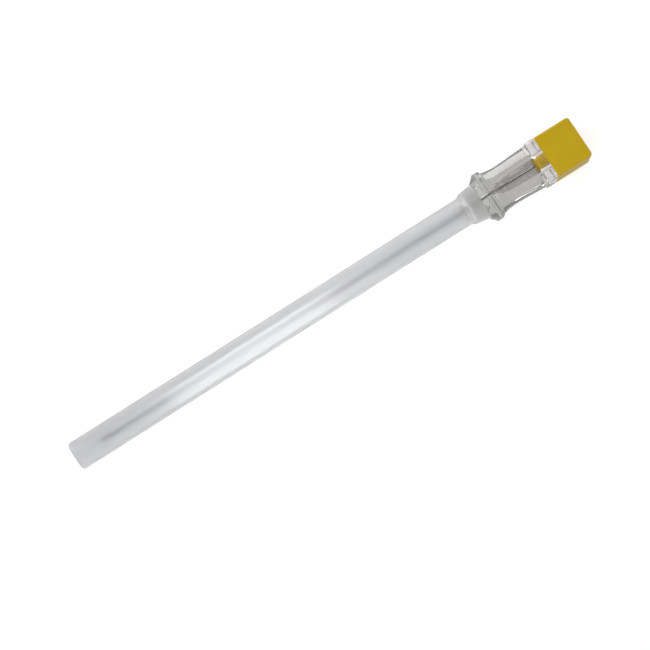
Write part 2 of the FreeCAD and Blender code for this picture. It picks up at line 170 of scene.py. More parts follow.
# %% [markdown]
# ## The sheath: one outline, turned
#
# The real sheath is one thin moulding: a tube with a closed round end, and a wider bell that
# presses on the hub. Its shape follows a rule, because it is its outline turned about the axis.
# A Screw modifier could turn it, but its axis and seam need care. A small Geometry Nodes tree
# says the rule plainly: lay out a grid, read the distance along X and the radius off the
# outline for each row, and put each column at its own angle. A moulded wall shrinks unevenly as
# it cools, and the light on it breaks into soft streaks. So the rule also sinks the radius by
# up to a small share of itself, after a noise that is stretched along the tube.


# %% The turning rule, as a Geometry Nodes tree
WAVE_STRETCH = 0.3
WAVE_RING = 3 * MM


def add_node(tree, kind, **settings):
    node = tree.nodes.new(kind)
    for name, setting in settings.items():
        setattr(node, name, setting)
    return node


def math_node(tree, operation, first, second=None):
    node = add_node(tree, "ShaderNodeMath", operation=operation)
    for socket, source in zip(node.inputs, (first, second)):
        if source is None:
            continue
        if isinstance(source, (int, float)):
            socket.default_value = source
        else:
            tree.links.new(source, socket)
    return node.outputs[0]


def build_turning_tree():
    tree = bpy.data.node_groups.new("turned_about_the_needle", "GeometryNodeTree")
    sockets = tree.interface
    sockets.new_socket("Outline", in_out="INPUT", socket_type="NodeSocketGeometry")
    sockets.new_socket("Steps Around", in_out="INPUT", socket_type="NodeSocketInt")
    sockets.new_socket("Axis Height", in_out="INPUT", socket_type="NodeSocketFloat")
    sockets.new_socket("Wave Share", in_out="INPUT", socket_type="NodeSocketFloat")
    sockets.new_socket("Wave Scale", in_out="INPUT", socket_type="NodeSocketFloat")
    sockets.new_socket("Finish", in_out="INPUT", socket_type="NodeSocketMaterial")
    sockets.new_socket("Geometry", in_out="OUTPUT", socket_type="NodeSocketGeometry")
    link = tree.links.new

    given = tree.nodes.new("NodeGroupInput")
    size = add_node(tree, "GeometryNodeAttributeDomainSize", component="MESH")
    link(given.outputs["Outline"], size.inputs[0])
    columns = math_node(tree, "ADD", given.outputs["Steps Around"], 1)
    grid = tree.nodes.new("GeometryNodeMeshGrid")
    link(size.outputs["Point Count"], grid.inputs["Vertices X"])
    link(columns, grid.inputs["Vertices Y"])

    index = tree.nodes.new("GeometryNodeInputIndex").outputs[0]
    row = math_node(tree, "FLOOR", math_node(tree, "DIVIDE", index, columns))
    column = math_node(tree, "MODULO", index, columns)
    turn = math_node(tree, "DIVIDE", column, given.outputs["Steps Around"])
    angle = math_node(tree, "MULTIPLY", turn, 2 * math.pi)

    place = tree.nodes.new("GeometryNodeInputPosition")
    outline = add_node(tree, "GeometryNodeSampleIndex", data_type="FLOAT_VECTOR", domain="POINT")
    link(given.outputs["Outline"], outline.inputs["Geometry"])
    link(place.outputs[0], outline.inputs["Value"])
    link(row, outline.inputs["Index"])
    parts = tree.nodes.new("ShaderNodeSeparateXYZ")
    link(outline.outputs[0], parts.inputs[0])
    radius = parts.outputs["Z"]
    side_share, up_share = math_node(tree, "COSINE", angle), math_node(tree, "SINE", angle)
    wave_place = tree.nodes.new("ShaderNodeCombineXYZ")
    link(math_node(tree, "MULTIPLY", parts.outputs["X"], WAVE_STRETCH), wave_place.inputs["X"])
    link(math_node(tree, "MULTIPLY", side_share, WAVE_RING), wave_place.inputs["Y"])
    link(math_node(tree, "MULTIPLY", up_share, WAVE_RING), wave_place.inputs["Z"])
    waves = add_node(tree, "ShaderNodeTexNoise", noise_dimensions="3D")
    waves.inputs["Detail"].default_value = 1.0
    link(wave_place.outputs[0], waves.inputs["Vector"])
    link(given.outputs["Wave Scale"], waves.inputs["Scale"])
    sunk = math_node(tree, "MULTIPLY", waves.outputs[0], given.outputs["Wave Share"])
    radius = math_node(tree, "MULTIPLY", radius, math_node(tree, "SUBTRACT", 1.0, sunk))
    sideways = math_node(tree, "MULTIPLY", radius, side_share)
    upwards = math_node(tree, "MULTIPLY", radius, up_share)
    height = math_node(tree, "ADD", upwards, given.outputs["Axis Height"])
    turned = tree.nodes.new("ShaderNodeCombineXYZ")
    link(parts.outputs["X"], turned.inputs["X"])
    link(sideways, turned.inputs["Y"])
    link(height, turned.inputs["Z"])

    move = tree.nodes.new("GeometryNodeSetPosition")
    link(grid.outputs["Mesh"], move.inputs["Geometry"])
    link(turned.outputs[0], move.inputs["Position"])
    merge = tree.nodes.new("GeometryNodeMergeByDistance")
    merge.inputs["Distance"].default_value = MERGE_DISTANCE
    link(move.outputs[0], merge.inputs["Geometry"])
    realize = tree.nodes.new("GeometryNodeRealizeInstances")
    link(merge.outputs[0], realize.inputs[0])
    paint = tree.nodes.new("GeometryNodeSetMaterial")
    link(realize.outputs[0], paint.inputs["Geometry"])
    link(given.outputs["Finish"], paint.inputs["Material"])
    result = tree.nodes.new("NodeGroupOutput")
    link(paint.outputs[0], result.inputs["Geometry"])
    return tree


turning_tree = build_turning_tree()
print("turning tree:", len(turning_tree.nodes), "nodes")


# %% A helper that turns an outline into a piece
def turned_piece(name, outline, finish, steps_around, wave_share, wave_scale):
    """The outline holds (x, radius) rows in metres, from the axis round to the axis."""
    points = [(x, 0, radius) for x, radius in outline]
    carrier = new_piece(f"{name}_outline", points, [])
    modifier = carrier.modifiers.new("turned", "NODES")
    modifier.node_group = turning_tree
    values = {
        "Steps Around": steps_around,
        "Axis Height": AXIS_HEIGHT,
        "Wave Share": wave_share,
        "Wave Scale": wave_scale,
        "Finish": finish,
    }
    for item in turning_tree.interface.items_tree:
        if item.in_out == "INPUT" and item.name in values:
            modifier[item.identifier] = values[item.name]
    evaluated = carrier.evaluated_get(bpy.context.evaluated_depsgraph_get())
    mesh = bpy.data.meshes.new_from_object(evaluated)
    bpy.data.objects.remove(carrier)
    mesh.materials.clear()
    mesh.materials.append(finish)
    mesh.polygons.foreach_set("material_index", [0] * len(mesh.polygons))
    piece = bpy.data.objects.new(name, mesh)
    bpy.context.scene.collection.objects.link(piece)
    return close_and_measure(piece)


# %% [markdown]
# ## Shared effects for the plastics
#
# All three mouldings were pressed against a steel mould. Its polish leaves a fine grain, and the
# plastic leaves long soft waves as it flows and shrinks. One node group makes both, with its own
# values in each material. It gives a height for the bump and a mask for small changes of gloss.


# %% The moulded surface group
FLOW_STRETCH = 0.22


def build_moulded_group():
    group = bpy.data.node_groups.new("moulded_surface", "ShaderNodeTree")
    for name, number in (("Grain Scale", 2200), ("Flow Scale", 90), ("Flow Share", 0.5)):
        socket = group.interface.new_socket(name, in_out="INPUT", socket_type="NodeSocketFloat")
        socket.default_value = number
    group.interface.new_socket("Height", in_out="OUTPUT", socket_type="NodeSocketFloat")
    group.interface.new_socket("Mask", in_out="OUTPUT", socket_type="NodeSocketFloat")
    link = group.links.new
    given = group.nodes.new("NodeGroupInput")
    place = group.nodes.new("ShaderNodeTexCoord").outputs["Object"]

    grain = add_node(group, "ShaderNodeTexNoise", noise_dimensions="3D")
    grain.inputs["Detail"].default_value = 2.0
    link(place, grain.inputs["Vector"])
    link(given.outputs["Grain Scale"], grain.inputs["Scale"])

    along = group.nodes.new("ShaderNodeMapping")
    along.inputs["Scale"].default_value = (FLOW_STRETCH, 1.0, 1.0)
    link(place, along.inputs["Vector"])
    flow = add_node(group, "ShaderNodeTexNoise", noise_dimensions="3D")
    flow.inputs["Detail"].default_value = 1.0
    link(along.outputs[0], flow.inputs["Vector"])
    link(given.outputs["Flow Scale"], flow.inputs["Scale"])

    flow_part = math_node(group, "MULTIPLY", flow.outputs["Fac"], given.outputs["Flow Share"])
    rest = math_node(group, "SUBTRACT", 1.0, given.outputs["Flow Share"])
    grain_part = math_node(group, "MULTIPLY", grain.outputs["Fac"], rest)
    result = group.nodes.new("NodeGroupOutput")
    link(math_node(group, "ADD", flow_part, grain_part), result.inputs["Height"])
    link(flow.outputs["Fac"], result.inputs["Mask"])
    return group


moulded_group = build_moulded_group()
print("moulded surface group:", len(moulded_group.nodes), "nodes")

# %% [markdown]
# ## Shared effect for the steels
#
# Tube and wire are drawn through a die, which leaves fine lines along them. The group stretches
# a noise along X until it becomes lines, and gives a height and a small change of tone.


# %% The drawn steel group
def build_drawn_group():
    group = bpy.data.node_groups.new("drawn_steel", "ShaderNodeTree")
    for name, number in (("Line Scale", 9000), ("Stretch", 0.01)):
        socket = group.interface.new_socket(name, in_out="INPUT", socket_type="NodeSocketFloat")
        socket.default_value = number
    group.interface.new_socket("Height", in_out="OUTPUT", socket_type="NodeSocketFloat")
    group.interface.new_socket("Tone", in_out="OUTPUT", socket_type="NodeSocketFloat")
    link = group.links.new
    given = group.nodes.new("NodeGroupInput")
    place = group.nodes.new("ShaderNodeTexCoord").outputs["Object"]
    parts = group.nodes.new("ShaderNodeSeparateXYZ")
    link(place, parts.inputs[0])
    shrunk = math_node(group, "MULTIPLY", parts.outputs["X"], given.outputs["Stretch"])
    lines_at = group.nodes.new("ShaderNodeCombineXYZ")
    link(shrunk, lines_at.inputs["X"])
    link(parts.outputs["Y"], lines_at.inputs["Y"])
    link(parts.outputs["Z"], lines_at.inputs["Z"])
    lines = add_node(group, "ShaderNodeTexNoise", noise_dimensions="3D")
    lines.inputs["Detail"].default_value = 3.0
    link(lines_at.outputs[0], lines.inputs["Vector"])
    link(given.outputs["Line Scale"], lines.inputs["Scale"])
    result = group.nodes.new("NodeGroupOutput")
    link(lines.outputs["Fac"], result.inputs["Height"])
    link(lines.outputs["Fac"], result.inputs["Tone"])
    return group


drawn_group = build_drawn_group()
print("drawn steel group:", len(drawn_group.nodes), "nodes")


# %% Helpers that start a material and vary it
NOISE_LOW = 0.3
NOISE_HIGH = 0.7
COLOUR_A, COLOUR_B, MIXED_COLOUR = 6, 7, 2


def new_finish(name, group, group_values, bump_distance, **plain):
    """A Principled material whose bump comes from a shared group. Returns it with its nodes."""
    finish = bpy.data.materials.new(name)
    finish.use_nodes = True
    tree = finish.node_tree
    shader = tree.nodes["Principled BSDF"]
    for socket, setting in plain.items():
        shader.inputs[socket.replace("_", " ")].default_value = setting
    effect = add_node(tree, "ShaderNodeGroup", node_tree=group)
    for socket, setting in group_values.items():
        effect.inputs[socket].default_value = setting
    bump = tree.nodes.new("ShaderNodeBump")
    bump.inputs["Distance"].default_value = bump_distance
    tree.links.new(effect.outputs["Height"], bump.inputs["Height"])
    tree.links.new(bump.outputs["Normal"], shader.inputs["Normal"])
    return finish, tree, shader, effect


def vary_number(tree, mask, socket, low, high):
    """Maps the usual range of a noise to two numbers and feeds a socket with the result."""
    spread = tree.nodes.new("ShaderNodeMapRange")
    spread.inputs["From Min"].default_value = NOISE_LOW
    spread.inputs["From Max"].default_value = NOISE_HIGH
    spread.inputs["To Min"].default_value = low
    spread.inputs["To Max"].default_value = high
    tree.links.new(mask, spread.inputs["Value"])
    tree.links.new(spread.outputs[0], socket)


def vary_colour(tree, mask, socket, one, other):
    """Mixes two colours by a mask and feeds a socket with the result."""
    mix = add_node(tree, "ShaderNodeMix", data_type="RGBA")
    mix.inputs[COLOUR_A].default_value = (*one, 1)
    mix.inputs[COLOUR_B].default_value = (*other, 1)
    tree.links.new(mask, mix.inputs["Factor"])
    tree.links.new(mix.outputs[MIXED_COLOUR], socket)


# %% [markdown]
# ## Lamps and clear plastic
#
# A clear wall has to let the lamps reach what stands inside it: the needle in its sheath and the
# plug in its socket. A path tracer takes a refracting wall for a screen when it asks whether a
# lamp is in sight, so the inside goes too dark. Each clear finish therefore answers that one
# question with a plain see-through surface that dims the lamp a little. Every other ray meets
# the plastic itself.


# %% A helper that lets the lamps through a finish
def let_lamps_through(finish, kept):
    """Kept holds the share of a lamp's red, green and blue that is left behind each face."""
    tree = finish.node_tree
    seen = tree.nodes.new("ShaderNodeLightPath")
    clear = tree.nodes.new("ShaderNodeBsdfTransparent")
    clear.inputs["Color"].default_value = (*kept, 1)
    mix = tree.nodes.new("ShaderNodeMixShader")
    tree.links.new(seen.outputs["Is Shadow Ray"], mix.inputs[0])
    tree.links.new(tree.nodes["Principled BSDF"].outputs[0], mix.inputs[1])
    tree.links.new(clear.outputs[0], mix.inputs[2])
    tree.links.new(mix.outputs[0], tree.nodes["Material Output"].inputs["Surface"])


# %% [markdown]
# ## Sheath plastic
#
# The sheath is natural polypropylene: clear in a thick lens, milky in a wall. Part of the light
# goes through and is scattered, so the needle is a soft dark line inside. Real volume scatter
# would be slow and noisy in so thin a wall. A rough transmission with a share of plain diffuse
# colour gives the same milk. Its skin is smooth, so a coat carries the soft highlight along the
# middle, and a sheen lifts the two long edges, where the wall is seen through its thickness.

# %% Make the sheath plastic
MILKY_TONES = ((0.85, 0.855, 0.865), (0.88, 0.885, 0.895))
MILKY_ROUGHNESS = (0.38, 0.46)
MILKY_KEPT = (0.6, 0.6, 0.6)

milky_plastic, tree, shader, effect = new_finish(
    "milky_plastic",
    moulded_group,
    {"Grain Scale": 1500, "Flow Scale": 380, "Flow Share": 0.95},
    bump_distance=0.00010,
    Transmission_Weight=0.90,
    IOR=1.49,
    Coat_Weight=1.0,
    Coat_Roughness=0.14,
    Coat_IOR=1.7,
    Sheen_Weight=1.0,
    Sheen_Roughness=0.5,
)
vary_number(tree, effect.outputs["Mask"], shader.inputs["Roughness"], *MILKY_ROUGHNESS)
vary_colour(tree, effect.outputs["Mask"], shader.inputs["Base Color"], *MILKY_TONES)
let_lamps_through(milky_plastic, MILKY_KEPT)
print("made", milky_plastic.name)

# %% [markdown]
# ## The sheath's outline
#
# The outline starts on the axis at the closed end, runs back along the outside, swells over a
# short shoulder into the bell, turns round the lip and returns along the inside.


# %% Turn the sheath
def divided(outline, longest):
    """Adds points to an outline, so that no stretch of it is longer than the longest."""
    rows = [outline[0]]
    for start, end in zip(outline[:-1], outline[1:]):
        count = max(1, math.ceil(np.linalg.norm(end - start) / longest))
        rows.extend(start + (end - start) * share for share in np.linspace(0, 1, count + 1)[1:])
    return np.array(rows)


TUBE_RADIUS = 3.15 * MM
TUBE_WALL = 0.6 * MM
END_WALL = 1.0 * MM
END_ROUNDING = 1.04 * MM
INNER_END_ROUNDING = 0.64 * MM
BELL_LENGTH = 2.9 * MM
SHOULDER_LENGTH = 0.8 * MM
SHOULDER_ROUNDING = SHOULDER_LENGTH / 3
BELL_TAPER = 0.35 * MM
BELL_WALL = 0.6 * MM
BELL_DEPTH = 2.5 * MM
LIP_ROUNDING = 0.15 * MM
CURVE_STEPS = 9
LONGEST_STRETCH = 0.8 * MM
STEPS_AROUND = 160
WAVE_SHARE = 0.018
WAVE_SCALE = 420

bell_start = SHEATH_MOUTH - BELL_LENGTH
bell_front_radius = BELL_RADIUS - BELL_TAPER
sheath_corners = [
    (SHEATH_TIP, 0, 0),
    (SHEATH_TIP, TUBE_RADIUS, END_ROUNDING),
    (bell_start - SHOULDER_LENGTH, TUBE_RADIUS, SHOULDER_ROUNDING),
    (bell_start, bell_front_radius, SHOULDER_ROUNDING),
    (SHEATH_MOUTH, BELL_RADIUS, LIP_ROUNDING),
    (SHEATH_MOUTH, BELL_RADIUS - BELL_WALL, LIP_ROUNDING / 2),
    (SHEATH_MOUTH - BELL_DEPTH, bell_front_radius - BELL_WALL, LIP_ROUNDING),
    (SHEATH_MOUTH - BELL_DEPTH, TUBE_RADIUS - TUBE_WALL, LIP_ROUNDING),
    (SHEATH_TIP + END_WALL, TUBE_RADIUS - TUBE_WALL, INNER_END_ROUNDING),
    (SHEATH_TIP + END_WALL, 0, 0),
]
places = np.array([corner[:2] for corner in sheath_corners])[:, None, :]
sheath_outline = soften(places, [corner[2] for corner in sheath_corners], CURVE_STEPS)[:, 0]
sheath_outline = divided(sheath_outline, LONGEST_STRETCH)
sheath = turned_piece("sheath", sheath_outline, milky_plastic, STEPS_AROUND, WAVE_SHARE, WAVE_SCALE)

# %% [markdown]
# ## The hub's sections
#
# The hub is squared behind and round in front. Every section of it is a closed curve round the
# axis, so a section is fully told by how far it reaches in each direction. That makes all of
# them alike: a circle, a round-cornered rectangle and the crowned section of the grip have the
# same count of points, and any two can be joined without a twist.

# %% Reach of each kind of section
HUB_DIRECTIONS = 192
GRIP_CORNER = 1.8 * MM
GRIP_CROWN = 6.0 * MM

directions = np.arange(HUB_DIRECTIONS) * 2 * math.pi / HUB_DIRECTIONS
across = np.maximum(np.abs(np.cos(directions)), TINY)
upward = np.maximum(np.abs(np.sin(directions)), TINY)


def arc_reach(centre_y, centre_z, radius):
    """Distance along each direction to the far side of an arc."""
    along = across * centre_y + upward * centre_z
    return along + np.sqrt(np.maximum(along**2 - centre_y**2 - centre_z**2 + radius**2, 0))


def circle_reach(radius):
    return np.full(HUB_DIRECTIONS, radius)


def rectangle_reach(width, depth, corner):
    reach = np.minimum(width / 2 / across, depth / 2 / upward)
    inner_y, inner_z = width / 2 - corner, depth / 2 - corner
    in_corner = (reach * across > inner_y) & (reach * upward > inner_z)
    return np.where(in_corner, arc_reach(inner_y, inner_z, corner), reach)


def crowned_reach(width, depth):
    """Upright sides, round corners and faces that are crowned by one wide arc."""
    inset = width / 2 - GRIP_CORNER
    span = GRIP_CROWN - GRIP_CORNER
    rise = math.sqrt(span**2 - inset**2)
    side = depth / 2 - GRIP_CROWN + rise
    join = inset * GRIP_CROWN / span
    face = arc_reach(0, depth / 2 - GRIP_CROWN, GRIP_CROWN)
    flank = width / 2 / across
    corner = arc_reach(inset, side, GRIP_CORNER)
    return np.where(face * across <= join, face, np.where(flank * upward <= side, flank, corner))


print("each section of the hub has", HUB_DIRECTIONS, "points")

# %% [markdown]
# ## The waisted grip
#
# Behind the flange the hub draws in to a waist for finger and thumb, and then flares to the
# rear. In front of the waist the outline is part of a circle. Behind it, it leaves the waist
# gently and goes over into a straight flare. The same rule serves for the width and the depth.

# %% The flare rule
GRIP_LENGTH = 10.9 * MM
WAIST_DISTANCE = 3.4 * MM
FLARE_BLEND = 3.0 * MM


def flared_size(distance, root, waist, rear):
    """Size of the grip at a distance behind the flange."""
    drop = (root - waist) / 2
    radius = (WAIST_DISTANCE**2 + drop**2) / (2 * drop)
    behind = distance - WAIST_DISTANCE
    if behind < 0:
        return waist + 2 * (radius - math.sqrt(radius**2 - behind**2))
    slope = (rear - waist) / 2 / (GRIP_LENGTH - WAIST_DISTANCE - FLARE_BLEND / 2)
    if behind < FLARE_BLEND:
        return waist + slope * behind**2 / FLARE_BLEND
    return waist + slope * (2 * behind - FLARE_BLEND)


# %% [markdown]
# ## The hub as one closed skin
#
# The hub's skin runs back over the outside, round the rear edge into the socket, forwards
# through funnel, throat and cannula seat, and out again at the adhesive well. It is one ring of
# sections, each joined to the next, and the last to the first. Clear plastic shows the inside
# as plainly as the outside, so both are made with the same care.

# %% List the hub's sections
WELL_RADIUS = 1.3 * MM
BOSS_RADIUS = 2.1 * MM
BOSS_LENGTH = 1.2 * MM
BOSS_ROUNDING = 0.3 * MM
NOSE_FRONT_RADIUS = 3.1 * MM
NOSE_REAR_RADIUS = 3.4 * MM
NOSE_ROUNDING = 0.25 * MM
COLLAR_START = 3.65 * MM
FLANGE_START = 4.8 * MM
FLANGE_END = 6.4 * MM
FLANGE_SIZE = (10.7 * MM, 8.2 * MM, 2.8 * MM)
FLANGE_ROUNDING = 0.3 * MM
COLLAR_SIZE = (8.6 * MM, 7.0 * MM, 3.2 * MM)
COLLAR_REAR_SIZE = (10.1 * MM, 7.6 * MM, 2.5 * MM)
GRIP_ROOT = (9.98 * MM, 7.48 * MM)
WAIST = (8.8 * MM, 6.9 * MM)
GRIP_REAR = (9.6 * MM, 7.1 * MM)
RIM_SIZE = (9.7 * MM, 7.2 * MM, 1.0 * MM)
RIM_LENGTH = 2.3 * MM
RIM_ROUNDING = 0.36 * MM
EDGE = 0.12 * MM
GRIP_STATIONS = 34

sections = []


def section(distance, reach, rounding=0.0):
    """Adds a section, a distance behind the hub's front face, with its edge rounding."""
    sections.append((distance, reach, rounding))


section(0, circle_reach(WELL_RADIUS), EDGE)
section(0, circle_reach(BOSS_RADIUS), BOSS_ROUNDING)
section(BOSS_LENGTH, circle_reach(BOSS_RADIUS), EDGE)
section(BOSS_LENGTH, circle_reach(NOSE_FRONT_RADIUS), NOSE_ROUNDING)
section(COLLAR_START, circle_reach(NOSE_REAR_RADIUS), EDGE)
section(COLLAR_START, rectangle_reach(*COLLAR_SIZE), EDGE)
section(FLANGE_START, rectangle_reach(*COLLAR_REAR_SIZE), EDGE / 2)
section(FLANGE_START, rectangle_reach(*FLANGE_SIZE), FLANGE_ROUNDING)
section(FLANGE_END, rectangle_reach(*FLANGE_SIZE), FLANGE_ROUNDING)
section(FLANGE_END, crowned_reach(*GRIP_ROOT), EDGE)
for distance in np.linspace(0, GRIP_LENGTH, GRIP_STATIONS)[1:-1]:
    width = flared_size(distance, GRIP_ROOT[0], WAIST[0], GRIP_REAR[0])
    depth = flared_size(distance, GRIP_ROOT[1], WAIST[1], GRIP_REAR[1])
    section(FLANGE_END + distance, crowned_reach(width, depth))
rim_start = FLANGE_END + GRIP_LENGTH
section(rim_start, crowned_reach(*GRIP_REAR), EDGE / 2)
section(rim_start, rectangle_reach(*RIM_SIZE), RIM_ROUNDING)
section(rim_start + RIM_LENGTH, rectangle_reach(*RIM_SIZE), RIM_ROUNDING)
print(len(sections), "sections outside, hub length", round((rim_start + RIM_LENGTH) / MM, 3), "mm")

# %% Add the sections of the passage
SOCKET_MOUTH_RADIUS = 2.15 * MM
SOCKET_FLOOR_RADIUS = 1.91 * MM
SOCKET_DEPTH = 8.0 * MM
THROAT_RADIUS = 0.325 * MM
THROAT_START = 5.5 * MM
THROAT_LENGTH = 0.5 * MM
SEAT_RADIUS = 0.47 * MM
WELL_DEPTH = 1.6 * MM
FUNNEL_STEPS = 18

hub_length = HUB_REAR - HUB_FRONT
socket_floor = hub_length - SOCKET_DEPTH
throat_end = THROAT_START + THROAT_LENGTH
section(hub_length, circle_reach(SOCKET_MOUTH_RADIUS), EDGE)
section(socket_floor, circle_reach(SOCKET_FLOOR_RADIUS), EDGE)
run, rise = socket_floor - throat_end, SOCKET_FLOOR_RADIUS - THROAT_RADIUS
funnel_radius = (run**2 + rise**2) / (2 * rise)
for share in np.linspace(1, 0, FUNNEL_STEPS)[1:]:
    ahead = run * (1 - share)
    inward = funnel_radius - math.sqrt(funnel_radius**2 - ahead**2)
    section(socket_floor - ahead, circle_reach(SOCKET_FLOOR_RADIUS - inward))
section(THROAT_START, circle_reach(THROAT_RADIUS), EDGE / 3)
section(THROAT_START, circle_reach(SEAT_RADIUS), EDGE / 3)
section(WELL_DEPTH, circle_reach(SEAT_RADIUS), EDGE)
print("passage: socket floor at", round(socket_floor / MM, 2), "mm, throat end at", throat_end / MM, "mm")


# %% Join the sections into the hub
def ring_of_sections(name, start):
    """One closed skin through all sections, from the hub's front face at start."""
    corners = np.array(
        [np.stack([np.full(HUB_DIRECTIONS, place), reach], -1) for place, reach, _ in sections]
    )
    rows = soften(corners, [rounding for _, _, rounding in sections])
    along, reach = rows[..., 0] + start, rows[..., 1]
    sideways = reach * np.cos(directions)
    height = AXIS_HEIGHT + reach * np.sin(directions)
    points = np.stack([along, sideways, height], -1).reshape(-1, 3)
    count = len(rows)
    faces = []
    for row in range(count):
        below = (row + 1) % count
        for column in range(HUB_DIRECTIONS):
            beside = (column + 1) % HUB_DIRECTIONS
            faces.append(
                (
                    row * HUB_DIRECTIONS + column,
                    row * HUB_DIRECTIONS + beside,
                    below * HUB_DIRECTIONS + beside,
                    below * HUB_DIRECTIONS + column,
                )
            )
    return new_piece(name, points.tolist(), faces)


hub = close_and_measure(ring_of_sections("hub", HUB_FRONT))

# %% [markdown]
# ## The key notch
#
# A small slot in the underside of the rim takes the key of the stylet cap, so that the wire's
# bevel always lies in line with the tube's. It isn't a closed curve round the axis, so it is cut
# out afterwards. A boolean with a plain box does that in one step, and is applied at once.

# %% Cut the key notch
KEY_HALF_WIDTH = 1.0 * MM
KEY_HEIGHT = 0.9 * MM
KEY_LENGTH = 1.5 * MM


def box_piece(name, low, high):
    corners = [(x, y, z) for x in (low[0], high[0]) for y in (low[1], high[1]) for z in (low[2], high[2])]
    faces = [(0, 1, 3, 2), (4, 6, 7, 5), (0, 4, 5, 1), (2, 3, 7, 6), (0, 2, 6, 4), (1, 5, 7, 3)]
    return close_and_measure(new_piece(name, corners, faces))


def cut_away(piece, cutter):
    modifier = piece.modifiers.new("cut", "BOOLEAN")
    modifier.operation = "DIFFERENCE"
    modifier.solver = "EXACT"
    modifier.object = cutter
    evaluated = piece.evaluated_get(bpy.context.evaluated_depsgraph_get())
    mesh = bpy.data.meshes.new_from_object(evaluated)
    piece.modifiers.clear()
    piece.data = mesh
    bpy.data.objects.remove(cutter)
    return close_and_measure(piece)


rim_bottom = AXIS_HEIGHT - RIM_SIZE[1] / 2
notch_low = (HUB_REAR - KEY_LENGTH, -KEY_HALF_WIDTH, rim_bottom - KEY_HEIGHT)
notch_high = (HUB_REAR + KEY_LENGTH, KEY_HALF_WIDTH, rim_bottom + KEY_HEIGHT)
cut_away(hub, box_piece("notch_cutter", notch_low, notch_high))

# %% [markdown]
# ## Hub plastic
#
# The hub is clear, so that the first drop of fluid shows in it. It is polished inside and out, with a
# slight unevenness from the flow of the plastic, which bends the reflections a little. Its tint is a grey
# darker than clear plastic: painted shade, for the dim ground seen through it. The thick rim behind
# gathers light from all sides and sparkles whiter than the grip, so the tint fades to near white there,
# in small specks: a painted sparkle.

# %% Make the hub plastic
# Painted shade: the clear tones are greyer than clear plastic. Painted sparkle: the rim tone, laid on the
# rim in specks.
CLEAR_SHADED_TONES = ((0.59, 0.585, 0.566), (0.69, 0.685, 0.66))
CLEAR_ROUGHNESS = (0.02, 0.06)
CLEAR_KEPT = (0.9, 0.9, 0.89)
RIM_SPARKLE_TONE = (0.98, 0.96, 0.95)
RIM_SPARKLE_BLEND = 0.08 * MM
SPARKLE_SPECK_SCALE = 900
SPARKLE_SPECK_RANGE = (0.38, 0.55)
SPARKLE_SPECK_LEAST = 0.5

clear_plastic, tree, shader, effect = new_finish(
    "clear_plastic",
    moulded_group,
    {"Grain Scale": 1800, "Flow Scale": 260, "Flow Share": 0.93},
    bump_distance=0.00006,
    Transmission_Weight=1.0,
    IOR=1.52,
)
vary_number(tree, effect.outputs["Mask"], shader.inputs["Roughness"], *CLEAR_ROUGHNESS)
# The tint is painted shade that fades to a painted sparkle in specks on the rim.
shade_and_sparkle_tint = add_node(tree, "ShaderNodeMix", data_type="RGBA")
shade_and_sparkle_tint.inputs[COLOUR_B].default_value = (*RIM_SPARKLE_TONE, 1)
vary_colour(tree, effect.outputs["Mask"], shade_and_sparkle_tint.inputs[COLOUR_A], *CLEAR_SHADED_TONES)
hub_place = tree.nodes.new("ShaderNodeTexCoord").outputs["Object"]
hub_parts = tree.nodes.new("ShaderNodeSeparateXYZ")
tree.links.new(hub_place, hub_parts.inputs[0])
behind = tree.nodes.new("ShaderNodeMapRange")
behind.inputs["From Min"].default_value = HUB_REAR - RIM_LENGTH - RIM_SPARKLE_BLEND
behind.inputs["From Max"].default_value = HUB_REAR - RIM_LENGTH + RIM_SPARKLE_BLEND
tree.links.new(hub_parts.outputs["X"], behind.inputs["Value"])
sparkle_specks = add_node(tree, "ShaderNodeTexNoise", noise_dimensions="3D")
sparkle_specks.inputs["Scale"].default_value = SPARKLE_SPECK_SCALE
sparkle_specks.inputs["Detail"].default_value = 2.0
tree.links.new(hub_place, sparkle_specks.inputs["Vector"])
sparkle_share = tree.nodes.new("ShaderNodeMapRange")
sparkle_share.inputs["From Min"].default_value = SPARKLE_SPECK_RANGE[0]
sparkle_share.inputs["From Max"].default_value = SPARKLE_SPECK_RANGE[1]
sparkle_share.inputs["To Min"].default_value = SPARKLE_SPECK_LEAST
tree.links.new(sparkle_specks.outputs["Fac"], sparkle_share.inputs["Value"])
rim_sparkle_share = math_node(tree, "MULTIPLY", behind.outputs[0], sparkle_share.outputs[0])
tree.links.new(rim_sparkle_share, shade_and_sparkle_tint.inputs["Factor"])
tree.links.new(shade_and_sparkle_tint.outputs[MIXED_COLOUR], shader.inputs["Base Color"])
let_lamps_through(clear_plastic, CLEAR_KEPT)
hub.data.materials.append(clear_plastic)
print("made", clear_plastic.name)

# %% [markdown]
# ## Steel, adhesive and cap plastic
#
# Tube and wire are drawn stainless steel. The tube is written darker than bare steel: painted shade,
# which makes it the dark line through the milky wall where a bare tube would fade.
# The wire is a little darker too, so that it still stands out against a white table when it is
# drawn out. The adhesive is a drop of clear resin that has yellowed a little. The cap is moulded
# in the yellow that stands for this size of needle, with a fine satin face, so its light is soft
# and its colour carries.

# %% Make the steels
# The tube's tones are painted shade, darker than bare steel.
TUBE_SHADED_TONES = ((0.21, 0.213, 0.223), (0.31, 0.315, 0.33))
TUBE_ROUGHNESS = (0.22, 0.34)
WIRE_TONES = ((0.48, 0.484, 0.49), (0.58, 0.584, 0.59))
WIRE_ROUGHNESS = (0.10, 0.18)

